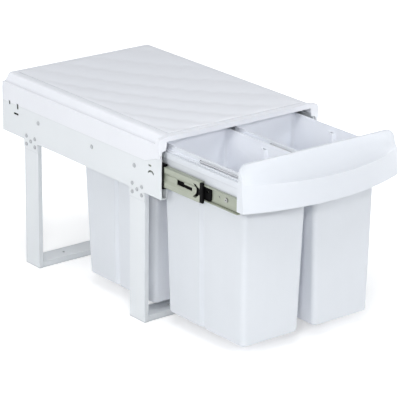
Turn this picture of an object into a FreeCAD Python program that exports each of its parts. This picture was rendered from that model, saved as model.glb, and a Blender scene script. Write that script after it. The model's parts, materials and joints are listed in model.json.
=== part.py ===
import FreeCAD
import Part
import math
import os
from FreeCAD import Vector

# Pull-out waste bin for a floor cabinet, drawer partly open. Lengths in millimetres, X across, +Y to the back, +Z up.
# Depths are laid out from the front ends of the side rails and moved to the middle of the whole part when saved.

# Overall sizes
frame_width = 342.0
rail_length = 490.0
cover_top = 357.0
drawer_out = 201.5
sheet = 1.2
overrun = 2.0
pick_tolerance = 0.01
half_width = frame_width / 2
rail_inner = half_width - sheet

# Side rails, places measured from their front or rear end and from their bottom
rail_drop = 19.0
rail_height = 94.0
rail_top = cover_top - rail_drop
rail_bottom = rail_top - rail_height
rail_flange = 12.7
rail_lip = 18.0
rail_lip_top = rail_bottom + rail_lip
rail_tab = 16.0
rail_tab_bottom = rail_bottom - rail_tab
rail_corner_r = 10.0
rail_seat_front = 12.0
rail_seat_rear = 24.0
rail_seat_width = 14.0
rail_notch_play = 0.5
front_slot_y = 33.0
front_slot_rise = 54.0
front_slot_long = 8.0
front_slot_high = 3.6
hook_slot_y = 30.0
hook_slot_rise = 36.0
hook_slot_r = 10.0
hook_slot_width = 3.2
hook_slot_cut = 3.6
key_slot_rear = 25.0
key_slot_rise = 59.0
key_slot_long = 4.0
key_slot_high = 7.0
latch_slot_rear = 51.5
latch_slot_rise = 57.0
latch_slot_long = 4.4
latch_slot_high = 10.0
tongue_slot_rear = 46.0
tongue_slot_rise = 42.0
tongue_slot_long = 15.0
tongue_slot_high = 3.6

# Posts, foot bars and their rivets
post_width = 44.0
post_flange = 8.5
post_lap = 18.0
post_top = rail_bottom + post_lap
front_post_y = 70.0
rear_post_rear = 92.5
rear_post_y = rail_length - rear_post_rear
bar_height = 11.0
bar_hole_x = 100.0
bar_hole_r = 2.8
leg_rivet_rise = 0.5
leg_rivet_z = rail_bottom + leg_rivet_rise
leg_rivet_dy = 13.5
leg_rivet_dz = 7.8
rivet_shank_r = 1.7
rivet_head_r = 3.5
rivet_head_h = 1.3
rivet_round_share = 0.75

# Cover, widths measured in from the rails' outer faces and heights down from its top
cover_wall = 2.5
cover_skirt_wall = 1.3
cover_skirt_edge = 0.6
cover_flat_inset = 12.0
cover_round_inset = 9.0
cover_round_drop = 1.8
cover_shoulder_inset = 5.5
cover_shoulder_drop = 14.7
cover_trough_inset = 3.6
cover_trough_drop = 17.5
cover_ridge_inset = 0.2
cover_ridge_drop = 16.4
cover_step_drop = 17.4
cover_skirt_drop = 53.0
cover_slot_play = 0.8
cover_skirt_front = 3.0
cover_skirt_cut_y = 46.0
cover_skirt_cut_drop = 38.0
cover_rear_gap = 3.0
cover_rear_slope = 8.0
cover_rear = rail_length - cover_rear_gap
cover_flat_half = half_width - cover_flat_inset
cover_shoulder_half = half_width - cover_shoulder_inset
cover_step_z = cover_top - cover_step_drop
cover_skirt_bottom = cover_top - cover_skirt_drop
bezel_wall = 2.4
bezel_depth = 7.0
bezel_spread = 8.0
bezel_width = 21.0
bezel_height = 38.0
bezel_half = half_width + bezel_spread
bezel_face_shares = [(1.0, 0.0), (0.14, 0.09), (0.0, 0.21), (0.0, 0.63), (0.07, 1.0), (0.37, 0.68), (0.74, 0.63),
                     (0.86, 0.24)]
bezel_ear_shares = [(0.33, 0.25), (0.14, 0.09), (0.0, 0.21), (0.0, 0.63), (0.07, 1.0), (0.33, 0.74)]
bezel_top_shares = [(1.38, 0.066), (1.0, 0.0), (0.14, 0.09), (0.286, 0.25), (0.714, 0.263), (1.095, 0.13)]
cover_boss_r = 3.6
cover_boss_height = 7.0
cover_screw_inset = 10.2
cover_screw_x = half_width - cover_screw_inset
cover_screw_shares = [0.122, 0.49, 0.857]

# Diagonal pillows moulded into the top of the cover
relief_border = 11.0
relief_lift = 0.5
relief_height = 3.2
relief_fade = 9.0
relief_wave = 55.0
relief_wave_share = 0.05
relief_soft_share = 0.3
relief_shares = [3.006, 2.112, 2.093, -0.42, 0.036, -0.316]
relief_columns = 57
relief_rows = 71

# Ball bearing slides, depths measured from the rail's inner face towards the drawer
slide_rise = 42.0
slide_z = rail_bottom + slide_rise
slide_sheet = 1.2
outer_half = 22.5
outer_depth = 9.6
outer_lip_half = 18.4
outer_front = 40.0
outer_rear = 60.0
outer_y0 = outer_front
outer_y1 = rail_length - outer_rear
middle_half = 18.0
middle_start_depth = 1.9
middle_end_depth = 11.8
middle_web_depth = 4.4
middle_band = 9.0
middle_slope = 4.0
middle_lip_half = 14.0
middle_lip = 1.1
middle_closed = 5.3
middle_end_gap = 0.7
middle_travel_share = 0.53
middle_y0 = middle_closed - drawer_out * middle_travel_share
middle_y1 = middle_y0 + outer_y1 - middle_closed - middle_end_gap
inner_half = 13.5
inner_start_depth = 6.3
inner_end_depth = 12.7
inner_closed = 5.5
inner_end_gap = 8.5
inner_y0 = inner_closed - drawer_out
inner_length = outer_y1 - inner_closed - inner_end_gap
inner_y1 = inner_y0 + inner_length
ball_r = 1.75
ball_play = 0.3
outer_ball_depth = 4.8
inner_ball_depth = 8.1
ball_pitch = 30.0
ball_count = 6
cage_thick = 0.8
cage_half_width = 2.2
cage_end = 10.0
cage_hole_play = 0.05
outer_cage_closed = 150.4
inner_cage_closed = 129.1
outer_cage_y0 = outer_cage_closed - drawer_out * middle_travel_share / 2
inner_cage_y0 = inner_cage_closed - drawer_out * (1 + middle_travel_share) / 2
window_front = 23.5
window_length = 41.5
window_low = 4.5
window_high = 5.0
window_step = 21.5
window_step_high = 1.8
crescent_front = 17.5
crescent_r = 14.0
crescent_shift = 9.5
crescent_hollow_r = 15.0
crescent_half = 12.0
bumper_length = 7.5
bumper_start_depth = 2.0
bumper_end_depth = 6.0
bumper_half = 17.4
bumper_grip = 3.5
bumper_grip_half = 4.5
lever_front = 81.5
lever_length = 94.0
lever_start_depth = 8.2
lever_half = 11.4
lever_nose = 5.0
lever_hole_back = 9.0
lever_hole_rise = 4.0
lever_hole_r = 2.8
inner_hole_back = 52.5
inner_hole_rise = 2.5
inner_hole_r = 1.6
slide_rivet_shares = [0.159, 0.417, 0.759]
slide_rivet_r = 2.0
slide_rivet_head_r = 3.8
slide_rivet_head_h = 1.3
guide_reach = 3.0
guide_length = 15.0
guide_wall = 1.3
guide_half = 21.5
guide_depth = 10.0
guide_arm_half = 18.7
stop_rear = 18.0
stop_depth = 9.0
stop_half = 21.0
stop_round = 4.0
stop_rib = 3.0
stop_rib_gap = 8.0
stop_rib_depth = 5.5
lug_play = 0.25
lug_reach = 0.8

# Drawer frame
closed_gap = 3.5
carrier_rise = 40.5
carrier_drop = 13.0
carrier_top = slide_z + carrier_rise
carrier_bottom = slide_z - carrier_drop
carrier_wall = 2.7
carrier_shelf = 2.5
carrier_rim = 2.2
carrier_rim_height = 9.5
carrier_web_height = 26.0
carrier_nose = 15.0
carrier_nose_rise = 14.0
carrier_y0 = -closed_gap - drawer_out
carrier_half = rail_inner - inner_end_depth
opening_play = 1.2
web_setback = 3.0

# Bins
bin_bottom = 27.5
bin_lip = 10.5
bin_top = carrier_top + bin_lip
bin_wall = 2.6
bin_ledge = 5.5
bin_ledge_thick = 2.5
bin_outer_taper = 5.0
bin_inner_taper = 10.7
bin_front_taper = 3.3
bin_back_taper = 11.5
rear_bin_back_taper = 19.0
bin_corner_r = 9.0
bin_foot_round = 3.0
bin_side_gap = 10.1
bin_split = 13.0
bin_outer_x = carrier_half - bin_side_gap
bin_inner_x = bin_split / 2
bin_end_gap = 12.0
front_bin_depth = 221.0
rear_bin_depth = 220.0
crossbar = 24.0
front_bin_y0 = carrier_y0 + bin_end_gap
front_bin_y1 = front_bin_y0 + front_bin_depth
rear_bin_y0 = front_bin_y1 + crossbar
rear_bin_y1 = rear_bin_y0 + rear_bin_depth
carrier_y1 = rear_bin_y1 + bin_end_gap
groove_width = 15.0
groove_depth = 5.0
groove_setback = 2.5

# Wire bails
bail_r = 1.75
bail_gap = 0.4
bail_rise = 0.55
bail_hole_play = 0.3
bail_hole_depth = 2.1
bail_pin = 1.7
bail_bend_r = 3.0
bail_corner_r = 10.0
bail_setback = 3.0
bail_z = carrier_top + bin_ledge_thick + bail_rise + bail_r

# Drawer front, depths measured forward from its flat back
front_back = carrier_y0
front_rise = 6.0
front_slope_height = 32.0
front_band_height = 48.0
front_top = cover_top + front_rise
front_band_top = front_top - front_slope_height
front_bottom = front_band_top - front_band_height
front_overhang = 1.0
front_upper_inset = 2.5
front_half = half_width + front_overhang
front_upper_half = front_half - front_upper_inset
front_shoulder_rise = 5.0
front_corner_r = 15.0
front_crown_depth = 4.5
band_top_end_depth = 12.0
band_top_depth = 57.0
band_bottom_end_depth = 17.0
band_bottom_depth = 51.0
front_top_y = front_back - front_crown_depth
front_wall = 2.6
front_end_wall = 6.0
front_crown_thick = 13.0
front_sag_share = 0.11
front_hollow_half = front_half - front_end_wall
front_hollow_top = front_top - front_crown_thick
front_station_shares = [-1.0, -0.75, -0.5, -0.25, 0.0, 0.25, 0.5, 0.75, 1.0]
front_boss_r = 4.0
front_boss_length = 10.0
front_screw_shares = [-0.756, -0.349, 0.349, 0.756]
front_screw_rise = 23.0
front_screw_z = front_bottom + front_screw_rise

# Screws
screw_r = 1.8
screw_head_r = 3.5
screw_head_h = 2.0
screw_socket_r = 1.4
screw_socket_depth = 1.0
front_screw_length = 10.0
slide_screw_length = 5.0
slide_screw_rise = 2.0
slide_screw_z = slide_z + slide_screw_rise
slide_screw_end = 34.0
slide_screw_gap = 41.5
cover_screw_length = 5.0

front_reach = band_top_depth - front_back
mid_shift = (front_reach - rail_length) / 2
lever_y0 = carrier_y0 + lever_front
cover_screw_ys = [share * rail_length for share in cover_screw_shares]
slide_rivet_ys = [share * rail_length for share in slide_rivet_shares]
slide_screw_ys = [inner_y0 + slide_screw_end, lever_y0 + lever_length + slide_screw_gap, inner_y1 - slide_screw_end]
front_screw_xs = [share * front_half for share in front_screw_shares]
rear_slots = [(rail_length - key_slot_rear, key_slot_rise, key_slot_long, key_slot_high),
              (rail_length - latch_slot_rear, latch_slot_rise, latch_slot_long, latch_slot_high),
              (rail_length - tongue_slot_rear, tongue_slot_rise, tongue_slot_long, tongue_slot_high)]
rail_slots = [(front_slot_y, front_slot_rise, front_slot_long, front_slot_high)] + rear_slots


def block(x0, x1, y0, y1, z0, z1):
    return Part.makeBox(x1 - x0, y1 - y0, z1 - z0, Vector(x0, y0, z0))


def prism(points, run):
    return Part.Face(Part.makePolygon(points + points[:1])).extrude(run)


def rod(start, run, r):
    return Part.makeCylinder(r, run.Length, start, run)


def mirrored(shape):
    return shape.mirror(Vector(0, 0, 0), Vector(1, 0, 0))


def both(shape):
    return [shape, mirrored(shape)]


def joined(shapes):
    return shapes[0].fuse(shapes[1:]).removeSplitter()


def save(node, shape):
    placed = shape.copy()
    placed.translate(Vector(0, mid_shift, 0))
    placed.exportStep("parts/" + node + ".step")


def save_pair(node, shape):
    # The shape is drawn on the left, at negative X
    save("left_" + node, shape)
    save("right_" + node, mirrored(shape))


def loop(x0, x1, y0, y1, z, r):
    # A rounded rectangle lying at height z
    diagonal = r * (1 - math.sqrt(0.5))
    edges = []
    corners = [(x1, y0, -1, 1), (x1, y1, -1, -1), (x0, y1, 1, -1), (x0, y0, 1, 1)]
    starts = [(x1 - r, y0), (x1, y1 - r), (x0 + r, y1), (x0, y0 + r)]
    ends = [(x1, y0 + r), (x1 - r, y1), (x0, y1 - r), (x0 + r, y0)]
    for i, (cx, cy, sx, sy) in enumerate(corners):
        a = Vector(starts[i][0], starts[i][1], z)
        b = Vector(ends[i][0], ends[i][1], z)
        middle = Vector(cx + sx * diagonal, cy + sy * diagonal, z)
        before = Vector(ends[i - 1][0], ends[i - 1][1], z)
        edges.append(Part.makeLine(before, a))
        edges.append(Part.Arc(a, middle, b).toShape())
    return Part.Wire(edges)


def plate(x0, x1, y0, y1, z0, z1, r):
    return Part.Face(loop(x0, x1, y0, y1, z0, r)).extrude(Vector(0, 0, z1 - z0))


def bent_path(points, radii):
    # Straight runs in one level, each inner corner rounded by its radius
    edges = []
    last = points[0]
    for i in range(1, len(points) - 1):
        corner = points[i]
        back = (points[i - 1] - corner).normalize()
        ahead = (points[i + 1] - corner).normalize()
        r = radii[i - 1]
        a = corner + back * r
        b = corner + ahead * r
        middle = corner + (back + ahead) * (r * (1 - math.sqrt(0.5)))
        edges.append(Part.makeLine(last, a))
        edges.append(Part.Arc(a, middle, b).toShape())
        last = b
    edges.append(Part.makeLine(last, points[-1]))
    return Part.Wire(edges)


def post_rivet_places(y):
    places = [(y, leg_rivet_z)]
    for sy in (-1, 1):
        for sz in (-1, 1):
            places.append((y + sy * leg_rivet_dy, leg_rivet_z + sz * leg_rivet_dz))
    return places


def slot_blocks(slots, x0, x1, play):
    blocks = []
    for y, rise, along, high in slots:
        dy = along / 2 + play
        dz = high / 2 + play
        z = rail_bottom + rise
        blocks.append(block(x0, x1, y - dy, y + dy, z - dz, z + dz))
    return blocks


def slot_tools(x0, x1, play):
    # Punched slots in the side, one of them bent like a hook
    tools = slot_blocks(rail_slots, x0, x1, play)
    run = Vector(x1 - x0, 0, 0)
    centre = Vector(x0, hook_slot_y, rail_bottom + hook_slot_rise)
    ring = rod(centre, run, hook_slot_r + play).cut(rod(centre, run, hook_slot_r - hook_slot_width - play))
    upper = block(x0, x1, hook_slot_y - hook_slot_r - overrun, hook_slot_y + hook_slot_r + overrun,
                  centre.z + hook_slot_cut - play, centre.z + hook_slot_r + overrun)
    return tools + [ring.common(upper)]


def rail():
    # Folded sheet: outer face, bottom flange with a raised inner lip, and a seat for the cover
    x0 = -half_width
    x1 = x0 + sheet
    lip_x = x0 + rail_flange
    face = block(x0, x1, 0, rail_length, rail_bottom, rail_top)
    corner = [e for e in face.Edges
              if abs(e.BoundBox.XLength - sheet) < pick_tolerance and e.BoundBox.YMin > rail_length - sheet
              and e.BoundBox.ZMin > rail_top - sheet]
    face = face.makeFillet(rail_corner_r, corner)
    flange = block(x0, lip_x, 0, rail_length, rail_bottom, rail_bottom + sheet)
    lip = block(lip_x - sheet, lip_x, 0, rail_length, rail_bottom, rail_lip_top)
    seat = block(x0, x0 + rail_seat_width, rail_seat_front, rail_length - rail_seat_rear, rail_top - sheet, rail_top)
    fold = flange.fuse(lip)
    tabs = []
    half = post_width / 2
    for y in (front_post_y, rear_post_y):
        notch = half + rail_notch_play
        fold = fold.cut(block(x1, lip_x + overrun, y - notch, y + notch, rail_bottom - overrun, rail_lip_top + overrun))
        tabs.append(block(x0, x1, y - half, y + half, rail_tab_bottom, rail_bottom + sheet))
    shape = joined([face, fold, seat] + tabs)
    through = Vector(sheet + overrun + overrun, 0, 0)
    out_x = x0 - overrun
    tools = slot_tools(out_x, x1 + overrun, 0)
    for y in slide_rivet_ys:
        tools.append(rod(Vector(out_x, y, slide_z), through, slide_rivet_r))
    for post_y in (front_post_y, rear_post_y):
        for y, z in post_rivet_places(post_y):
            tools.append(rod(Vector(out_x, y, z), through, rivet_shank_r))
    for y in cover_screw_ys:
        tools.append(rod(Vector(-cover_screw_x, y, rail_top - sheet - overrun),
                         Vector(0, 0, sheet + overrun + overrun), screw_r))
    return shape.cut(tools)


def post(y):
    # Channel with its web against the rail's tab and its flanges turned inwards
    x0 = -rail_inner
    half = post_width / 2
    web = block(x0, x0 + sheet, y - half, y + half, 0, post_top)
    front = block(x0, x0 + post_flange, y - half, y - half + sheet, 0, post_top)
    rear = block(x0, x0 + post_flange, y + half - sheet, y + half, 0, post_top)
    shape = joined([web, front, rear])
    through = Vector(sheet + overrun + overrun, 0, 0)
    return shape.cut([rod(Vector(x0 - overrun, py, pz), through, rivet_shank_r) for py, pz in post_rivet_places(y)])


def foot_bar(y):
    # Channel with its web on top, let in between the flanges of two posts
    end = rail_inner - sheet
    half = post_width / 2 - sheet
    outer = block(-end, end, y - half, y + half, 0, bar_height)
    inner = block(-end - overrun, end + overrun, y - half + sheet, y + half - sheet, -overrun, bar_height - sheet)
    holes = [rod(Vector(s * bar_hole_x, y, bar_height - sheet - overrun), Vector(0, 0, sheet + overrun + overrun),
                 bar_hole_r) for s in (-1, 1)]
    return outer.cut([inner] + holes)


def rivet(y, z, depth, shank_r, head_r, head_h):
    head = rod(Vector(-half_width - head_h, y, z), Vector(head_h, 0, 0), head_r)
    rim = [e for e in head.Edges if e.BoundBox.XMax < -half_width - head_h / 2 and e.Closed]
    head = head.makeFillet(head_h * rivet_round_share, rim)
    return joined([head, rod(Vector(-half_width, y, z), Vector(depth, 0, 0), shank_r)])


def leg_rivets():
    shapes = []
    for post_y in (front_post_y, rear_post_y):
        for y, z in post_rivet_places(post_y):
            shapes += both(rivet(y, z, sheet + sheet, rivet_shank_r, rivet_head_r, rivet_head_h))
    return Part.makeCompound(shapes)


def slide_rivets():
    shapes = []
    for y in slide_rivet_ys:
        shapes += both(rivet(y, slide_z, sheet + slide_sheet, slide_rivet_r, slide_rivet_head_r, slide_rivet_head_h))
    return Part.makeCompound(shapes)


def across(half_profile):
    # A left and right half outline joined into one closed row of points
    right = [Vector(x, 0, z) for x, z in half_profile]
    left = [Vector(-x, 0, z) for x, z in reversed(half_profile)]
    return right + left


def bezel_points(shares):
    return [(bezel_half - inset * bezel_width, cover_top - drop * bezel_height) for inset, drop in shares]


def relief_height_at(x, y):
    # Pillows that meet in creases running from the rear left to the front right
    a = x / cover_flat_half
    b = 2 * y / cover_rear - 1
    base, by_a, by_b, by_aa, by_ab, by_bb = relief_shares
    phase = base + by_a * a + by_b * b + by_aa * a * a + by_ab * a * b + by_bb * b * b
    phase += relief_wave_share * math.sin(2 * math.pi * (x - y) / relief_wave)
    crest = math.sqrt(math.sin(math.pi * phase) ** 2 + relief_soft_share ** 2) - relief_soft_share
    edge = min(cover_flat_half - relief_border - abs(x), y - relief_border,
               cover_rear - cover_rear_slope - relief_border - y)
    fade = min(1, max(0, edge / relief_fade))
    return relief_lift + relief_height * crest * fade * fade * (3 - 2 * fade)


def relief():
    # The moulded top skin, a smooth surface drawn through rows of heights
    x0 = relief_border - cover_flat_half
    y0 = relief_border
    dx = -2 * x0 / (relief_columns - 1)
    dy = (cover_rear - cover_rear_slope - relief_border - y0) / (relief_rows - 1)
    grid = []
    for i in range(relief_columns):
        x = x0 + i * dx
        grid.append([Vector(x, y0 + j * dy, cover_top + relief_height_at(x, y0 + j * dy)) for j in range(relief_rows)])
    surface = Part.BSplineSurface()
    surface.interpolate(grid)
    skin = surface.toShape().extrude(Vector(0, 0, -relief_lift - relief_height - cover_wall))
    kept = block(x0, -x0, y0, y0 + (relief_rows - 1) * dy, cover_top - cover_wall / 2,
                 cover_top + relief_lift + relief_height + overrun)
    return skin.common(kept)


def cover():
    # Moulded top with sloped shoulders, skirts outside the rails and a wider bezel round the front opening
    skirt_in = half_width
    skirt_out = skirt_in + cover_skirt_wall
    roof = cover_top - cover_wall
    outside = [(cover_flat_half, cover_top), (half_width - cover_round_inset, cover_top - cover_round_drop),
               (cover_shoulder_half, cover_top - cover_shoulder_drop),
               (half_width - cover_trough_inset, cover_top - cover_trough_drop),
               (half_width - cover_ridge_inset, cover_top - cover_ridge_drop), (skirt_out, cover_step_z),
               (skirt_in + cover_skirt_edge, cover_skirt_bottom)]
    inside = [(cover_flat_half - cover_wall, roof), (cover_shoulder_half - cover_wall, rail_top),
              (skirt_in, rail_top), (skirt_in, cover_skirt_bottom - overrun)]
    shell = prism(across(outside), Vector(0, cover_rear, 0))
    x = -skirt_out - overrun
    slope = [Vector(x, cover_rear - cover_rear_slope, cover_top), Vector(x, cover_rear + overrun, cover_top),
             Vector(x, cover_rear + overrun, cover_step_z), Vector(x, cover_rear, cover_step_z)]
    hollow = prism([p + Vector(0, -overrun, 0) for p in across(inside)],
                   Vector(0, cover_rear - cover_rear_slope - cover_wall + overrun, 0))
    below = block(-skirt_in, skirt_in, cover_rear - cover_rear_slope - cover_wall - overrun, cover_rear + overrun,
                  cover_skirt_bottom - overrun, rail_top)
    shell = shell.cut(prism(slope, Vector(-x - x, 0, 0))).cut(hollow).cut(below)
    cut_z = cover_top - cover_skirt_cut_drop
    low_z = cover_skirt_bottom - overrun
    cuts = slot_tools(x, -skirt_in + overrun, cover_slot_play)
    cuts += [mirrored(tool) for tool in cuts]
    wedge = prism([Vector(x, -overrun, cut_z), Vector(x, cover_skirt_front, cut_z),
                   Vector(x, cover_skirt_cut_y, cover_skirt_bottom), Vector(x, cover_skirt_cut_y, low_z),
                   Vector(x, -overrun, low_z)], Vector(cover_skirt_wall + overrun + overrun, 0, 0))
    shell = shell.cut(cuts + both(wedge))
    face = prism([p + Vector(0, -bezel_wall, 0) for p in across(bezel_points(bezel_face_shares))],
                 Vector(0, bezel_wall, 0))
    pieces = [shell, face, relief()]
    for s in (-1, 1):
        for shares in (bezel_ear_shares, bezel_top_shares):
            pieces.append(prism([Vector(s * px, 0, pz) for px, pz in bezel_points(shares)], Vector(0, bezel_depth, 0)))
        for y in cover_screw_ys:
            pieces.append(rod(Vector(s * cover_screw_x, y, rail_top), Vector(0, 0, cover_boss_height), cover_boss_r))
    shape = joined(pieces)
    pilots = [rod(Vector(s * cover_screw_x, y, rail_top - overrun), Vector(0, 0, cover_screw_length + overrun), screw_r)
              for y in cover_screw_ys for s in (-1, 1)]
    return shape.cut(pilots)


def screw(seat, direction, length):
    # Pan head lying on the seat, shank running on along the direction
    head = rod(seat - direction * screw_head_h, direction * screw_head_h, screw_head_r)
    shank = rod(seat, direction * length, screw_r)
    socket = rod(seat - direction * screw_head_h, direction * screw_socket_depth, screw_socket_r)
    return joined([head, shank]).cut(socket)


def cover_screws():
    up = Vector(0, 0, 1)
    shapes = []
    for y in cover_screw_ys:
        shapes += both(screw(Vector(-cover_screw_x, y, rail_top - sheet), up, cover_screw_length))
    return Part.makeCompound(shapes)


def slide_block(u0, u1, v0, v1, y0, y1):
    # Placed by its distance from the rail's inner face and its height about the slide's centre line
    return block(-rail_inner + u0, -rail_inner + u1, y0, y1, slide_z + v0, slide_z + v1)


def mirrored_bands(u0, u1, v0, v1, y0, y1):
    return [slide_block(u0, u1, v0, v1, y0, y1), slide_block(u0, u1, -v1, -v0, y0, y1)]


outer_ball_v = (outer_half - slide_sheet + middle_half) / 2
inner_ball_v = (middle_half - slide_sheet + inner_half) / 2


def race_tools(u, v, y0, y1):
    run = Vector(0, y1 - y0 + overrun + overrun, 0)
    return [rod(Vector(-rail_inner + u, y0 - overrun, slide_z + s * v), run, ball_r + ball_play) for s in (-1, 1)]


def slide_outer():
    parts = [slide_block(0, slide_sheet, -outer_half, outer_half, outer_y0, outer_y1)]
    parts += mirrored_bands(0, outer_depth, outer_half - slide_sheet, outer_half, outer_y0, outer_y1)
    parts += mirrored_bands(outer_depth - slide_sheet, outer_depth, outer_lip_half, outer_half, outer_y0, outer_y1)
    shape = joined(parts).cut(race_tools(outer_ball_depth, outer_ball_v, outer_y0, outer_y1))
    through = Vector(slide_sheet + overrun + overrun, 0, 0)
    return shape.cut([rod(Vector(-rail_inner - overrun, y, slide_z), through, slide_rivet_r) for y in slide_rivet_ys])


def middle_bands():
    # The raised bands that carry the races, sloping in to the web
    near = middle_start_depth
    far = middle_web_depth
    edge = middle_half - middle_band
    foot = edge - middle_slope
    outline = [(near, middle_half), (near, edge), (far, foot), (far + slide_sheet, foot), (near + slide_sheet, edge),
               (near + slide_sheet, middle_half)]
    bands = []
    for s in (-1, 1):
        points = [Vector(-rail_inner + u, middle_y0, slide_z + s * v) for u, v in outline]
        bands.append(prism(points, Vector(0, middle_y1 - middle_y0, 0)))
    return bands


def slide_middle():
    y0 = middle_y0
    y1 = middle_y1
    web_half = middle_half - middle_band - middle_slope
    web_end = middle_web_depth + slide_sheet
    parts = [slide_block(middle_web_depth, web_end, -web_half, web_half, y0, y1)] + middle_bands()
    parts += mirrored_bands(middle_start_depth, middle_end_depth, middle_half - slide_sheet, middle_half, y0, y1)
    parts += mirrored_bands(middle_end_depth - middle_lip, middle_end_depth, middle_lip_half, middle_half, y0, y1)
    shape = joined(parts)
    shape = shape.cut(race_tools(outer_ball_depth, outer_ball_v, y0, y1))
    shape = shape.cut(race_tools(inner_ball_depth, inner_ball_v, y0, y1))
    x0 = -rail_inner + middle_start_depth - overrun
    x1 = -rail_inner + web_end + overrun
    open_y = y0 + window_front
    window = block(x0, x1, open_y, open_y + window_length, slide_z - window_low, slide_z + window_high)
    tab = block(x0, x1, open_y - overrun, open_y + window_step, slide_z + window_step_high,
                slide_z + window_high + overrun)
    run = Vector(x1 - x0, 0, 0)
    moon_y = y0 + crescent_front
    moon = rod(Vector(x0, moon_y, slide_z), run, crescent_r)
    moon = moon.cut(rod(Vector(x0, moon_y + crescent_shift, slide_z), run, crescent_hollow_r))
    limit = block(x0, x1, moon_y - crescent_r, moon_y + crescent_r, slide_z - crescent_half, slide_z + crescent_half)
    return shape.cut([window.cut(tab), moon.common(limit)])


def slide_inner():
    y0 = inner_y0
    y1 = inner_y1
    web_start = inner_end_depth - slide_sheet
    parts = [slide_block(web_start, inner_end_depth, -inner_half, inner_half, y0, y1)]
    parts += mirrored_bands(inner_start_depth, inner_end_depth, inner_half - slide_sheet, inner_half, y0, y1)
    shape = joined(parts).cut(race_tools(inner_ball_depth, inner_ball_v, y0, y1))
    x = -rail_inner + web_start - overrun
    through = Vector(slide_sheet + overrun + overrun, 0, 0)
    bores = [rod(Vector(x, y, slide_screw_z), through, screw_r) for y in slide_screw_ys]
    bores.append(rod(Vector(x, y0 + inner_hole_back, slide_z + inner_hole_rise), through, inner_hole_r))
    return shape.cut(bores)


def ball_places(y0):
    return [y0 + cage_end + i * ball_pitch for i in range(ball_count)]


def cage(u, v, y0):
    # An upper and a lower strip with a pocket for each ball
    y1 = y0 + cage_end + cage_end + (ball_count - 1) * ball_pitch
    strips = mirrored_bands(u - cage_half_width, u + cage_half_width, v - cage_thick / 2, v + cage_thick / 2, y0, y1)
    pockets = [Part.makeSphere(ball_r + cage_hole_play, Vector(-rail_inner + u, y, slide_z + s * v))
               for y in ball_places(y0) for s in (-1, 1)]
    return Part.makeCompound([strip.cut(pockets) for strip in strips])


def balls(u, v, y0):
    return Part.makeCompound([Part.makeSphere(ball_r, Vector(-rail_inner + u, y, slide_z + s * v))
                              for y in ball_places(y0) for s in (-1, 1)])


def bumper():
    # Stop on the front end of the middle member, with a tongue gripping its web
    front = middle_y0 - bumper_length
    stop = slide_block(bumper_start_depth, bumper_end_depth, -bumper_half, bumper_half, front, middle_y0)
    grip = slide_block(bumper_start_depth, middle_web_depth, -bumper_grip_half, bumper_grip_half, front,
                       middle_y0 + bumper_grip)
    return joined([stop, grip])


def guide():
    # Collar in the rail's mouth that the middle member runs through
    y0 = -guide_reach
    y1 = y0 + guide_length
    plate_part = slide_block(0, guide_wall, -guide_half, guide_half, y0, y1)
    return joined([plate_part] + mirrored_bands(0, guide_depth, guide_arm_half, guide_half, y0, y1))


def rear_stop():
    # Buffer behind the outer member, snapped into the rail's rear slots by three lugs and ribbed on its inner side
    y1 = rail_length - stop_rear
    body = slide_block(0, stop_depth, -stop_half, stop_half, outer_y1, y1)
    corners = [e for e in body.Edges if e.BoundBox.YMin > y1 - overrun and e.BoundBox.XLength > sheet]
    body = body.makeFillet(stop_round, corners)
    hollows = []
    y = outer_y1 + stop_rib
    while y + stop_rib_gap + stop_rib < y1:
        hollows.append(slide_block(stop_depth - stop_rib_depth, stop_depth + overrun, stop_rib - stop_half,
                                   stop_half - stop_rib, y, y + stop_rib_gap))
        y += stop_rib_gap + stop_rib
    lugs = slot_blocks(rear_slots, -rail_inner - lug_reach, -rail_inner + sheet, -lug_play)
    return joined([body.cut(hollows)] + lugs)


def lever():
    # Release lever lying in the inner member, with a finger hole at its nose
    end = inner_end_depth - slide_sheet
    y0 = lever_y0
    body = slide_block(lever_start_depth, end, -lever_half, lever_half, y0, y0 + lever_length)
    nose = [e for e in body.Edges if e.BoundBox.YMax < y0 + overrun and e.BoundBox.XLength > sheet]
    body = body.makeFillet(lever_nose, nose)
    hole = rod(Vector(-rail_inner + lever_start_depth - overrun, y0 + lever_hole_back, slide_z + lever_hole_rise),
               Vector(end - lever_start_depth + overrun + overrun, 0, 0), lever_hole_r)
    return body.cut(hole)


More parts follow.
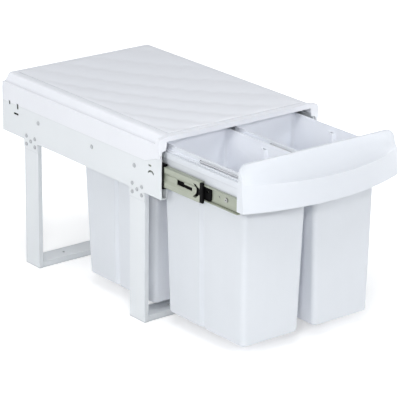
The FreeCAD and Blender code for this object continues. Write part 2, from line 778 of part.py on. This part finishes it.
def carrier():
    # Moulded drawer frame: rimmed side, front and rear walls, a shelf round each bin, a crossbar and a centre bar
    wall_in = carrier_half - carrier_wall
    shelf_z = carrier_top - carrier_shelf
    rim_half = carrier_half + carrier_rim
    steps = [(carrier_half, carrier_bottom), (rim_half, carrier_top - carrier_rim_height)]
    whole = joined([block(-half, half, carrier_y0, carrier_y1, low, carrier_top) for half, low in steps])
    core = block(-wall_in, wall_in, carrier_y0 + carrier_wall, carrier_y1 - carrier_wall,
                 carrier_bottom - overrun, shelf_z)
    under_front = block(-rim_half, rim_half, carrier_y0 - overrun, carrier_y0 + carrier_nose,
                        carrier_bottom - overrun, carrier_bottom + carrier_nose_rise)
    shape = whole.cut([core, under_front])
    out_x = bin_outer_x + opening_play
    mid_x = bin_inner_x - opening_play
    z0 = shelf_z - overrun
    z1 = carrier_top + overrun
    r = bin_corner_r
    openings = []
    for s in (-1, 1):
        x0, x1 = sorted((s * out_x, s * mid_x))
        openings.append(plate(x0, x1, front_bin_y0 - opening_play, front_bin_y1 + opening_play, z0, z1, r))
    openings.append(plate(-out_x, out_x, rear_bin_y0 - opening_play, rear_bin_y1 + opening_play, z0, z1, r))
    shape = shape.cut(openings)
    web_z = shelf_z - carrier_web_height
    cross_y0 = front_bin_y1 + opening_play + web_setback
    cross_y1 = rear_bin_y0 - opening_play - web_setback
    webs = [block(-wall_in, wall_in, cross_y0, cross_y0 + carrier_wall, web_z, shelf_z),
            block(-wall_in, wall_in, cross_y1 - carrier_wall, cross_y1, web_z, shelf_z),
            block(-carrier_wall / 2, carrier_wall / 2, carrier_y0 + carrier_wall, cross_y0, web_z, shelf_z)]
    shape = joined([shape] + webs)
    through = Vector(0, carrier_wall + overrun + overrun, 0)
    bores = [rod(Vector(x, carrier_y0 - overrun, front_screw_z), through, screw_r) for x in front_screw_xs]
    for s in (-1, 1):
        for y in slide_screw_ys:
            bores.append(rod(Vector(s * (carrier_half + overrun), y, slide_screw_z),
                             Vector(-s * (carrier_wall + overrun + overrun), 0, 0), screw_r))
    return shape.cut(bores)


def bin_inset(z):
    return (bin_top - z) / (bin_top - bin_bottom)


def bin_loop(plan, tapers, z, more):
    share = bin_inset(z)
    left, right, front, back = [taper * share + more for taper in tapers]
    x0, x1, y0, y1 = plan
    return loop(x0 + left, x1 - right, y0 + front, y1 - back, z, bin_corner_r - more)


def groove(x, s, taper, y, z0, z1, grow):
    # A shallow upright channel that follows the slope of a side wall
    wires = []
    half = groove_width / 2 + grow
    deep = groove_depth + grow
    floor = half - groove_depth
    for z in (z0, z1):
        wall_x = x - s * taper * bin_inset(z)
        corners = [(overrun, -half - overrun), (overrun, half + overrun), (-deep, floor), (-deep, -floor)]
        points = [Vector(wall_x + s * out, y + along, z) for out, along in corners]
        wires.append(Part.makePolygon(points + points[:1]))
    return Part.makeLoft(wires, True, True)


def bin_middle(plan):
    return (plan[2] + plan[3]) / 2 + groove_setback


def bin_body(plan, tapers):
    # Tapered shell with a ledge that hangs on the drawer frame and a raised lip above it
    x0, x1, y0, y1 = plan
    ledge_z0 = carrier_top
    foot = bin_bottom + bin_foot_round
    outer = Part.makeLoft([bin_loop(plan, tapers, bin_bottom, bin_foot_round / 2), bin_loop(plan, tapers, foot, 0),
                           bin_loop(plan, tapers, bin_top, 0)], True, True)
    floor_z = bin_bottom + bin_wall
    inner = Part.makeLoft([bin_loop(plan, tapers, floor_z, bin_wall + bin_foot_round / 2),
                           bin_loop(plan, tapers, foot + bin_wall, bin_wall),
                           bin_loop(plan, tapers, bin_top + overrun, bin_wall)], True, True)
    groove_y = bin_middle(plan)
    for x, s, taper in ((x0, -1, tapers[0]), (x1, 1, tapers[1])):
        outer = outer.cut(groove(x, s, taper, groove_y, bin_bottom - overrun, ledge_z0, 0))
        inner = inner.cut(groove(x, s, taper, groove_y, floor_z - overrun, ledge_z0, bin_wall))
    ledge = plate(x0 - bin_ledge, x1 + bin_ledge, y0 - bin_ledge, y1 + bin_ledge, ledge_z0,
                  ledge_z0 + bin_ledge_thick, bin_corner_r + bin_ledge)
    reach = Vector(bail_hole_depth + overrun, 0, 0)
    pin_y = groove_y + bail_setback
    holes = [rod(Vector(x0 - overrun, pin_y, bail_z), reach, bail_r + bail_hole_play),
             rod(Vector(x1 + overrun, pin_y, bail_z), -reach, bail_r + bail_hole_play)]
    return joined([outer, ledge]).cut(inner).cut(holes)


def bail(plan):
    # Wire handle: two pins let into the lip, arms along the sides and a grip across the front
    x0, x1, y0, y1 = plan
    z = bail_z
    off = bail_gap + bail_r
    pin_y = bin_middle(plan) + bail_setback
    points = [Vector(x0 + bail_pin, pin_y, z), Vector(x0 - off, pin_y, z), Vector(x0 - off, y0 - off, z),
              Vector(x1 + off, y0 - off, z), Vector(x1 + off, pin_y, z), Vector(x1 - bail_pin, pin_y, z)]
    path = bent_path(points, [bail_bend_r, bail_corner_r, bail_corner_r, bail_bend_r])
    circle = Part.Wire(Part.makeCircle(bail_r, points[0], Vector(1, 0, 0)))
    return Part.Solid(path.makePipeShell([circle], True, False))


def bow(end_depth, middle_depth, share):
    return front_back - end_depth - (middle_depth - end_depth) * (1 - share * share)


def front_section(x, share):
    top = bow(band_top_end_depth, band_top_depth, share)
    low = bow(band_bottom_end_depth, band_bottom_depth, share)
    sag = (front_top_y - top) * front_sag_share
    lower = Vector(x, front_back, front_bottom)
    knee = Vector(x, low, front_bottom)
    edge = Vector(x, top, front_band_top)
    crown = Vector(x, front_top_y, front_top)
    rear = Vector(x, front_back, front_top)
    middle = (edge + crown) / 2 + Vector(0, sag, -sag)
    return Part.Wire([Part.makeLine(lower, knee), Part.makeLine(knee, edge), Part.Arc(edge, middle, crown).toShape(),
                      Part.makeLine(crown, rear), Part.makeLine(rear, lower)])


def hollow_section(x, share):
    top = bow(band_top_end_depth, band_top_depth, share) + front_wall
    low = bow(band_bottom_end_depth, band_bottom_depth, share) + front_wall
    sag = (front_top_y - top) * front_sag_share
    back = front_back - front_wall
    lower = Vector(x, back, front_bottom - overrun)
    knee = Vector(x, low, front_bottom - overrun)
    edge = Vector(x, top, front_band_top - front_wall)
    crown = Vector(x, back, front_hollow_top)
    middle = (edge + crown) / 2 + Vector(0, sag, -sag)
    return Part.Wire([Part.makeLine(lower, knee), Part.makeLine(knee, edge), Part.Arc(edge, middle, crown).toShape(),
                      Part.makeLine(crown, lower)])


def drawer_front():
    # Bowed band below, hollowed slope up to a straight top edge, open underneath
    body = Part.makeLoft([front_section(s * front_half, s) for s in front_station_shares], True, False)
    upper = front_band_top + front_shoulder_rise
    r = front_corner_r
    diagonal = r * (1 - math.sqrt(0.5))
    y = front_back + overrun
    p = [Vector(front_half, y, front_bottom - overrun), Vector(front_half, y, front_band_top),
         Vector(front_upper_half, y, upper), Vector(front_upper_half, y, front_top - r),
         Vector(front_upper_half - r, y, front_top)]
    q = [Vector(-v.x, v.y, v.z) for v in p]
    bend = Vector(front_upper_half - diagonal, y, front_top - diagonal)
    outline = Part.Wire([Part.makeLine(p[0], p[1]), Part.makeLine(p[1], p[2]), Part.makeLine(p[2], p[3]),
                         Part.Arc(p[3], bend, p[4]).toShape(), Part.makeLine(p[4], q[4]),
                         Part.Arc(q[4], Vector(-bend.x, y, bend.z), q[3]).toShape(), Part.makeLine(q[3], q[2]),
                         Part.makeLine(q[2], q[1]), Part.makeLine(q[1], q[0]), Part.makeLine(q[0], p[0])])
    body = body.common(Part.Face(outline).extrude(Vector(0, -band_top_depth - overrun - overrun, 0)))
    share = front_hollow_half / front_half
    hollow = [hollow_section(s * front_hollow_half, s * share) for s in front_station_shares]
    body = body.cut(Part.makeLoft(hollow, True, False))
    back = front_back - front_wall
    forward = Vector(0, -front_boss_length, 0)
    body = joined([body] + [rod(Vector(x, back, front_screw_z), forward, front_boss_r) for x in front_screw_xs])
    pilots = [rod(Vector(x, front_back + overrun, front_screw_z), Vector(0, -front_screw_length - overrun, 0), screw_r)
              for x in front_screw_xs]
    return body.cut(pilots)


def front_screws():
    ahead = Vector(0, -1, 0)
    seats = [Vector(x, carrier_y0 + carrier_wall, front_screw_z) for x in front_screw_xs]
    return Part.makeCompound([screw(seat, ahead, front_screw_length) for seat in seats])


def slide_screws():
    inwards = Vector(1, 0, 0)
    seat_x = -rail_inner + inner_end_depth - slide_sheet
    shapes = []
    for y in slide_screw_ys:
        shapes += both(screw(Vector(seat_x, y, slide_screw_z), inwards, slide_screw_length))
    return Part.makeCompound(shapes)


os.makedirs("parts", exist_ok=True)

# Fixed frame
save_pair("rail", rail())
save_pair("front_post", post(front_post_y))
save_pair("rear_post", post(rear_post_y))
save("front_foot_bar", foot_bar(front_post_y))
save("rear_foot_bar", foot_bar(rear_post_y))
save("leg_rivets", leg_rivets())
save("cover", cover())
save("cover_screws", cover_screws())

# Slides
save_pair("slide_outer", slide_outer())
save_pair("slide_guide", guide())
save_pair("rear_stop", rear_stop())
save("slide_rivets", slide_rivets())
save_pair("slide_middle", slide_middle())
save_pair("slide_bumper", bumper())
save_pair("slide_inner", slide_inner())
save_pair("release_lever", lever())
save_pair("outer_cage", cage(outer_ball_depth, outer_ball_v, outer_cage_y0))
save_pair("outer_balls", balls(outer_ball_depth, outer_ball_v, outer_cage_y0))
save_pair("inner_cage", cage(inner_ball_depth, inner_ball_v, inner_cage_y0))
save_pair("inner_balls", balls(inner_ball_depth, inner_ball_v, inner_cage_y0))

# Drawer
save("drawer_frame", carrier())
save("drawer_front", drawer_front())
save("front_screws", front_screws())
save("slide_screws", slide_screws())

# Bins and their wire bails
front_plan = (-bin_outer_x, -bin_inner_x, front_bin_y0, front_bin_y1)
front_tapers = (bin_outer_taper, bin_inner_taper, bin_front_taper, bin_back_taper)
rear_plan = (-bin_outer_x, bin_outer_x, rear_bin_y0, rear_bin_y1)
rear_tapers = (bin_outer_taper, bin_outer_taper, bin_front_taper, rear_bin_back_taper)
front_bin = bin_body(front_plan, front_tapers)
save("front_left_bin", front_bin)
save("front_right_bin", mirrored(front_bin))
save("rear_bin", bin_body(rear_plan, rear_tapers))
save("front_left_bail", bail(front_plan))
save("front_right_bail", mirrored(bail(front_plan)))
save("rear_bail", bail(rear_plan))
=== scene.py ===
import json
import math

import bpy
from mathutils import Matrix, Vector

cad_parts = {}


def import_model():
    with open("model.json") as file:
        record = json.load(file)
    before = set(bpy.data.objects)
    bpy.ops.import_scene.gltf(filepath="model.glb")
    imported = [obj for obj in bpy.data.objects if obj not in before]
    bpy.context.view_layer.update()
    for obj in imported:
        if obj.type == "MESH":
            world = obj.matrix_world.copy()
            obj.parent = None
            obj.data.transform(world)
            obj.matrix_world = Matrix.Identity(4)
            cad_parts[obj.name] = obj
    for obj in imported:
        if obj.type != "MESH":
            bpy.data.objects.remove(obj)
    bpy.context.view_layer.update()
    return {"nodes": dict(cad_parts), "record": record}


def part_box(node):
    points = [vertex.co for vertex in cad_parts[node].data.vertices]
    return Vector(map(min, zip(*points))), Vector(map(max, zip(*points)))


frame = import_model()
nodes = frame["nodes"]

# Camera fitted to the photograph: angles in degrees, places in metres, lens and sensor in millimetres
CAM_AZIMUTH = -38.401
CAM_ELEVATION = 19.852
CAM_ROLL = 0.667
CAM_DISTANCE = 4.0915
CAM_LENS = 204.34
CAM_SENSOR = 36.0
CAM_TARGET = Vector((0.00061, -0.00781, 0.16449))
CAM_SHIFT = (-0.0031, 0.0171)
CAM_CLIP = (0.1, 50.0)

# Sky: dark at the horizon, brightest overhead and slightly blue
WORLD_HORIZON = 0.0
WORLD_ZENITH = 0.40
WORLD_TINT = (0.95, 0.99, 1.05, 1)
WHITE = (1, 1, 1, 1)

# Floor: half its width and its drop in metres, its surface, and the glow that makes it white to the camera.
# The glow is weaker near the middle, and it dims where the object encloses the floor: a painted shadow under
# and close to the object.
FLOOR_HALF = 6.0
FLOOR_DROP = 0.0005
FLOOR_ALBEDO = 0.86
FLOOR_ROUGHNESS = 0.95
FLOOR_GLOW = (0.40, 1.0)
FLOOR_GLOW_REACH = (0.42, 0.8)
FLOOR_SHADE = (0.85, 1.0)
FLOOR_SHADE_REACH = 0.3

# Lamps: round soft boxes that all look at one point from one distance, with their diameters in metres
LAMP_TARGET = Vector((0, -0.05, 0.2))
LAMP_DISTANCE = 2.9
SOFT_BOX = 1.4
SMALL_BOX = 0.3
# Each lamp's name, azimuth and elevation in degrees, power in watts and diameter. Azimuth 0 is in front of
# the drawer, and -90 on its left.
LAMPS = [
    ("left", -80, 20, 24, SOFT_BOX),
    ("camera_side", -44, 24.5, 16, SMALL_BOX),
    ("front", 8, 25, 13, SMALL_BOX),
    ("right", 42, 16, 17, SOFT_BOX),
    ("high", -40, 58, 23, SOFT_BOX),
    ("right_side", 95, 14, 21, SOFT_BOX),
    ("rear", 195, 12, 19, SOFT_BOX),
]

# Display colours: the sRGB curve
SRGB_FULL = 255
SRGB_TOE = 0.04045
SRGB_TOE_SLOPE = 12.92
SRGB_OFFSET = 0.055
SRGB_POWER = 2.4

# The range of a noise that turns into colour, and the rays round a point that measure how open it is.
# Below, a noise is written as its scale, detail and, where it isn't the usual one, roughness.
TINT_RANGE = (0.3, 0.7)
OPEN_AIR_SAMPLES = 8

# Painted shade in narrow seams: how dark, how far it reaches in metres, and the openness over which it fades
SEAM_SHADE = 0.7
SEAM_REACH = 0.005
METAL_SEAM_SHADE = 0.35
METAL_SEAM_REACH = 0.002
SEAM_RANGE = (0.5, 0.95)

# Moulded plastic: clouds and upright flow lines in the colour, and a fine grain
CLOUD_NOISE = (14.0, 3.0)
CLOUD_SHARE = 0.7
FLOW_NOISE = (60.0, 2.0)
FLOW_STRETCH = (1, 1, 0.12)
MOULDED_ROUGHNESS_VARY = 0.07
GRAIN_NOISE = (1500.0, 2.0)
GRAIN_DEPTH = 0.0003

# Bins: their own colour and a lighter, bluer painted-light colour for inner faces, the slope over which a
# face counts as inside, and the reach in metres and the openness of the narrow gaps where an outer face takes
# the painted-light colour in place of shade
BIN_OUTSIDE_SRGB = (223, 227, 232)
BIN_PAINTED_LIGHT_SRGB = (245, 248, 255)
BIN_FACING_RANGE = (-0.15, 0.15)
BIN_GAP_REACH = 0.15
BIN_GAP_RANGE = (0.15, 0.5)

# Powder coat: clouds and specks in the colour, and an orange-peel skin
COAT_CLOUD_NOISE = (9.0, 3.0)
COAT_CLOUD_SHARE = 0.75
COAT_SPECK_NOISE = (2600.0, 1.0)
COAT_DARK = 0.985
COAT_LIGHT = 1.012
COAT_ROUGHNESS_VARY = 0.06
COAT_SPECULAR = 0.45
PEEL_NOISE = (650.0, 2.0)
PEEL_STRENGTH = 0.16
PEEL_DEPTH = 0.0004

# Rolled and drawn metal: patches and streaks in the colour, and fine scratches
PATCH_NOISE = (45.0, 4.0)
PATCH_SHARE = 0.6
STREAK_NOISE = (900.0, 3.0, 0.6)
STREAK_SMOOTHER = 0.08
STREAK_ROUGHER = 0.10
SCRATCH_DEPTH = 0.0002
ALONG_Y = (1, 0.03, 1)
ALONG_WIRE = (1, 0.05, 1)
EVEN = (1, 1, 1)
ZINC_WARM = (0.98, 1.0, 0.95)


def camera():
    a = math.radians(CAM_AZIMUTH)
    e = math.radians(CAM_ELEVATION)
    r = math.radians(CAM_ROLL)
    back = Vector((math.sin(a) * math.cos(e), -math.cos(a) * math.cos(e), math.sin(e)))
    right = Vector((math.cos(a), math.sin(a), 0.0))
    up = back.cross(right)
    right_rolled = right * math.cos(r) + up * math.sin(r)
    up_rolled = up * math.cos(r) - right * math.sin(r)
    data = bpy.data.cameras.new("camera")
    data.lens = CAM_LENS
    data.sensor_width = CAM_SENSOR
    data.shift_x, data.shift_y = CAM_SHIFT
    data.clip_start, data.clip_end = CAM_CLIP
    obj = bpy.data.objects.new("camera", data)
    bpy.context.scene.collection.objects.link(obj)
    place = CAM_TARGET + back * CAM_DISTANCE
    turn = Matrix((right_rolled, up_rolled, back)).transposed().to_4x4()
    obj.matrix_world = Matrix.Translation(place) @ turn
    bpy.context.scene.camera = obj


def srgb(*display):
    # Linear values of a display colour written from 0 to 255
    out = []
    for v in display:
        c = v / SRGB_FULL
        if c <= SRGB_TOE:
            out.append(c / SRGB_TOE_SLOPE)
        else:
            out.append(((c + SRGB_OFFSET) / (1 + SRGB_OFFSET)) ** SRGB_POWER)
    return out


def scaled(color, k):
    return [min(1.0, c * k) for c in color]


class Tree:
    # Shorthand for making and linking shader nodes
    def __init__(self, owner):
        owner.use_nodes = True
        self.nodes = owner.node_tree.nodes
        self.links = owner.node_tree.links

    def add(self, kind, inputs=(), **settings):
        node = self.nodes.new("ShaderNode" + kind)
        for key, value in settings.items():
            setattr(node, key, value)
        for key, value in dict(inputs).items():
            if isinstance(value, bpy.types.NodeSocket):
                self.links.new(value, node.inputs[key])
            else:
                node.inputs[key].default_value = value
        return node

    def math(self, operation, a, b):
        return self.add("Math", {0: a, 1: b}, operation=operation).outputs[0]

    def vector(self, operation, a, b=(0, 0, 0)):
        return self.add("VectorMath", {0: a, 1: b}, operation=operation).outputs

    def weighted(self, a, b, share):
        return self.math("ADD", self.math("MULTIPLY", a, share), self.math("MULTIPLY", b, 1 - share))

    def noise(self, vector, scale, detail, rough=0.5):
        inputs = {"Vector": vector, "Scale": scale, "Detail": detail, "Roughness": rough}
        return self.add("TexNoise", inputs).outputs["Fac"]

    def spread(self, value, low, high, start=0.0, end=1.0):
        inputs = {"Value": value, "From Min": start, "From Max": end, "To Min": low, "To Max": high}
        return self.add("MapRange", inputs).outputs["Result"]

    def tint(self, fac, low, high):
        ramp = self.add("ValToRGB", {"Fac": fac})
        for element, place, color in zip(ramp.color_ramp.elements, TINT_RANGE, (low, high)):
            element.position = place
            element.color = (*color, 1)
        return ramp.outputs["Color"]

    def object_coords(self, stretch=EVEN):
        coords = self.add("TexCoord").outputs["Object"]
        return self.add("Mapping", {"Vector": coords, "Scale": stretch}).outputs["Vector"]

    def facing(self, axis):
        # 1 on faces that look towards an upright axis, 0 on those that look away from it
        coords = self.add("TexCoord")
        out = self.vector("SUBTRACT", coords.outputs["Object"], (*axis, 0))[0]
        flat = self.vector("MULTIPLY", out, (1, 1, 0))[0]
        unit = self.vector("NORMALIZE", flat)[0]
        away = self.vector("DOT_PRODUCT", unit, coords.outputs["Normal"])["Value"]
        return self.spread(away, 1.0, 0.0, *BIN_FACING_RANGE)

    def open_air(self, distance):
        # 1 on open faces, less in corners, seams and gaps narrower than the distance
        node = self.add("AmbientOcclusion", {"Distance": distance}, samples=OPEN_AIR_SAMPLES)
        return node.outputs["AO"]

    def mix(self, fac, low, high):
        return self.add("MixRGB", {"Fac": fac, "Color1": low, "Color2": high}).outputs["Color"]

    def painted_seam_shade(self, color, written, depth, reach):
        # Painted shade: the colour darkens in narrow seams, corners and gaps where shade falls
        shade = (*scaled(written, depth), 1)
        return self.mix(self.spread(self.open_air(reach), 0.0, 1.0, *SEAM_RANGE), shade, color)

    def bump(self, height, strength, distance):
        inputs = {"Height": height, "Strength": strength, "Distance": distance}
        return self.add("Bump", inputs).outputs["Normal"]


def new_material(name):
    m = bpy.data.materials.new(name)
    return m, Tree(m)


def finish_shader(tree, color, roughness, normal, metallic=0.0, specular=0.5):
    shader = tree.nodes["Principled BSDF"]
    shader.inputs["Metallic"].default_value = metallic
    shader.inputs["Specular IOR Level"].default_value = specular
    tree.links.new(color, shader.inputs["Base Color"])
    tree.links.new(roughness, shader.inputs["Roughness"])
    tree.links.new(normal, shader.inputs["Normal"])


def moulded(name, color, roughness, vary=0.012, grain=0.12, specular=0.35, painted_inner_light=None):
    # Moulded plastic: slow cloudy change of colour, flow lines, and a fine spark-eroded grain, with painted
    # shade in narrow seams.
    # A vessel instead gives its upright axis and a lighter painted-light colour for its inner faces, which
    # also goes on outer faces in narrow gaps where shade would fall.
    m, tree = new_material(name)
    at = tree.object_coords()
    cloud = tree.noise(at, *CLOUD_NOISE)
    flow = tree.noise(tree.object_coords(FLOW_STRETCH), *FLOW_NOISE)
    mixed = tree.weighted(cloud, flow, CLOUD_SHARE)
    base = tree.tint(mixed, scaled(color, 1 - vary), scaled(color, 1 + vary))
    rough = tree.spread(mixed, roughness - MOULDED_ROUGHNESS_VARY, roughness + MOULDED_ROUGHNESS_VARY)
    grained = tree.bump(tree.noise(at, *GRAIN_NOISE), grain, GRAIN_DEPTH)
    if painted_inner_light is None:
        base = tree.painted_seam_shade(base, color, SEAM_SHADE, SEAM_REACH)
    else:
        axis, painted_light_color = painted_inner_light
        # Painted light: inner faces, and outer faces in narrow gaps where shade falls, take a lighter and
        # bluer colour standing in for light that passes through and between the walls
        painted_light_tint = tree.tint(mixed, scaled(painted_light_color, 1 - vary), scaled(painted_light_color, 1 + vary))
        painted_gap_light_mask = tree.spread(tree.open_air(BIN_GAP_REACH), 1.0, 0.0, *BIN_GAP_RANGE)
        base = tree.mix(tree.math("MAXIMUM", tree.facing(axis), painted_gap_light_mask), base, painted_light_tint)
    finish_shader(tree, base, rough, grained, specular=specular)
    return m


def powder_coat(name, color, roughness):
    # Powder coat on sheet steel: an orange-peel skin with very fine specks, and painted shade in narrow seams
    m, tree = new_material(name)
    at = tree.object_coords()
    cloud = tree.noise(at, *COAT_CLOUD_NOISE)
    speck = tree.noise(at, *COAT_SPECK_NOISE)
    mixed = tree.weighted(cloud, speck, COAT_CLOUD_SHARE)
    base = tree.tint(mixed, scaled(color, COAT_DARK), scaled(color, COAT_LIGHT))
    base = tree.painted_seam_shade(base, color, SEAM_SHADE, SEAM_REACH)
    rough = tree.spread(cloud, roughness - COAT_ROUGHNESS_VARY, roughness + COAT_ROUGHNESS_VARY)
    peel = tree.bump(tree.noise(at, *PEEL_NOISE), PEEL_STRENGTH, PEEL_DEPTH)
    finish_shader(tree, base, rough, peel, specular=COAT_SPECULAR)
    return m


def rolled_metal(name, color, roughness, metallic, stretch, vary=0.06, scratch=0.10, warm=EVEN):
    # Plated or drawn metal: streaks along the rolling direction, patches of passivation tint, fine scratches,
    # and painted shade in narrow seams
    m, tree = new_material(name)
    patches = tree.noise(tree.object_coords(), *PATCH_NOISE)
    streaks = tree.noise(tree.object_coords(stretch), *STREAK_NOISE)
    mixed = tree.weighted(patches, streaks, PATCH_SHARE)
    low = [c * w for c, w in zip(scaled(color, 1 - vary), warm)]
    base = tree.tint(mixed, low, scaled(color, 1 + vary))
    base = tree.painted_seam_shade(base, color, METAL_SEAM_SHADE, METAL_SEAM_REACH)
    rough = tree.spread(streaks, roughness - STREAK_SMOOTHER, roughness + STREAK_ROUGHER)
    lines = tree.bump(streaks, scratch, SCRATCH_DEPTH)
    finish_shader(tree, base, rough, lines, metallic=metallic)
    return m


def bin_material(node):
    low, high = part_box(node)
    axis = [(a + b) / 2 for a, b in zip(low[:2], high[:2])]
    # Painted light: inner faces and narrow gaps take the lighter, bluer colour
    painted_inner_light = (axis, srgb(*BIN_PAINTED_LIGHT_SRGB))
    return moulded(node, srgb(*BIN_OUTSIDE_SRGB), roughness=0.55, grain=0.10, specular=0.25, painted_inner_light=painted_inner_light)


materials = {
    "powder_coat": powder_coat("powder_coat", srgb(227, 231, 234), roughness=0.42),
    "cover_plastic": moulded("cover_plastic", srgb(238, 240, 245), roughness=0.55, specular=0.2),
    "drawer_plastic": moulded("drawer_plastic", srgb(221, 225, 231), roughness=0.38, grain=0.08),
    "zinc_steel": rolled_metal("zinc_steel", srgb(163, 168, 155), roughness=0.34, metallic=0.15,
                               stretch=ALONG_Y, warm=ZINC_WARM),
    "cage_steel": rolled_metal("cage_steel", srgb(158, 159, 152), roughness=0.40, metallic=0.85,
                               stretch=ALONG_Y),
    "ball_steel": rolled_metal("ball_steel", srgb(200, 201, 204), roughness=0.22, metallic=1.0,
                               stretch=EVEN, vary=0.02, scratch=0.02),
    "black_plastic": moulded("black_plastic", srgb(14, 14, 15), roughness=0.6, vary=0.10, specular=0.05),
    "wire_steel": rolled_metal("wire_steel", srgb(186, 188, 193), roughness=0.30, metallic=0.45,
                               stretch=ALONG_WIRE),
    "screw_steel": rolled_metal("screw_steel", srgb(170, 171, 170), roughness=0.34, metallic=0.85,
                                stretch=EVEN),
    "rivet_steel": rolled_metal("rivet_steel", srgb(172, 175, 179), roughness=0.42, metallic=0.4,
                                stretch=EVEN),
}
slot_of = {s["node"]: s["material_slot"] for s in frame["record"]["subparts"]}
for name, obj in nodes.items():
    slot = slot_of[name]
    obj.data.materials.clear()
    obj.data.materials.append(bin_material(name) if slot == "bin_plastic" else materials[slot])


def seen_white(tree):
    # 1 for rays from the camera, or through a mirror or glass; 0 for the rays that light the object
    path = tree.add("LightPath")
    mirror = tree.math("MAXIMUM", path.outputs["Is Glossy Ray"], path.outputs["Is Transmission Ray"])
    return tree.math("MAXIMUM", path.outputs["Is Camera Ray"], mirror)


def floor():
    h = FLOOR_HALF
    mesh = bpy.data.meshes.new("floor")
    mesh.from_pydata([(-h, -h, 0), (h, -h, 0), (h, h, 0), (-h, h, 0)], [], [(0, 1, 2, 3)])
    obj = bpy.data.objects.new("floor", mesh)
    bpy.context.scene.collection.objects.link(obj)
    obj.location.z = -FLOOR_DROP
    m, tree = new_material("floor")
    shader = tree.nodes["Principled BSDF"]
    shader.inputs["Base Color"].default_value = (FLOOR_ALBEDO, FLOOR_ALBEDO, FLOOR_ALBEDO, 1)
    shader.inputs["Roughness"].default_value = FLOOR_ROUGHNESS
    shader.inputs["Specular IOR Level"].default_value = 0.0
    shader.inputs["Emission Color"].default_value = WHITE
    away = tree.vector("LENGTH", tree.add("TexCoord").outputs["Object"])["Value"]
    glow = tree.spread(away, *FLOOR_GLOW, *FLOOR_GLOW_REACH)
    # Painted shadow: the glow dims where the object closes in on the floor
    shade = tree.spread(tree.open_air(FLOOR_SHADE_REACH), *FLOOR_SHADE)
    glow = tree.math("MULTIPLY", glow, shade)
    tree.links.new(tree.math("MULTIPLY", seen_white(tree), glow), shader.inputs["Emission Strength"])
    mesh.materials.append(m)


def lamp(name, azimuth, elevation, power, size):
    a, e = math.radians(azimuth), math.radians(elevation)
    towards = Vector((math.sin(a) * math.cos(e), -math.cos(a) * math.cos(e), math.sin(e)))
    data = bpy.data.lights.new(name, "AREA")
    data.shape = "DISK"
    data.size = size
    data.energy = power
    obj = bpy.data.objects.new(name, data)
    bpy.context.scene.collection.objects.link(obj)
    obj.location = LAMP_TARGET + towards * LAMP_DISTANCE
    obj.rotation_mode = "QUATERNION"
    obj.rotation_quaternion = towards.to_track_quat("Z", "Y")


def world():
    w = bpy.data.worlds.new("world")
    bpy.context.scene.world = w
    tree = Tree(w)
    along = tree.add("SeparateXYZ", {0: tree.add("TexCoord").outputs["Generated"]})
    light = tree.spread(along.outputs["Z"], WORLD_HORIZON, WORLD_ZENITH)
    seen = seen_white(tree)
    background = tree.nodes["Background"]
    tree.links.new(tree.mix(seen, WORLD_TINT, WHITE), background.inputs["Color"])
    tree.links.new(tree.math("MAXIMUM", light, seen), background.inputs["Strength"])


camera()
floor()
world()
for settings in LAMPS:
    lamp(*settings)
bpy.context.scene.view_settings.view_transform = "Standard"
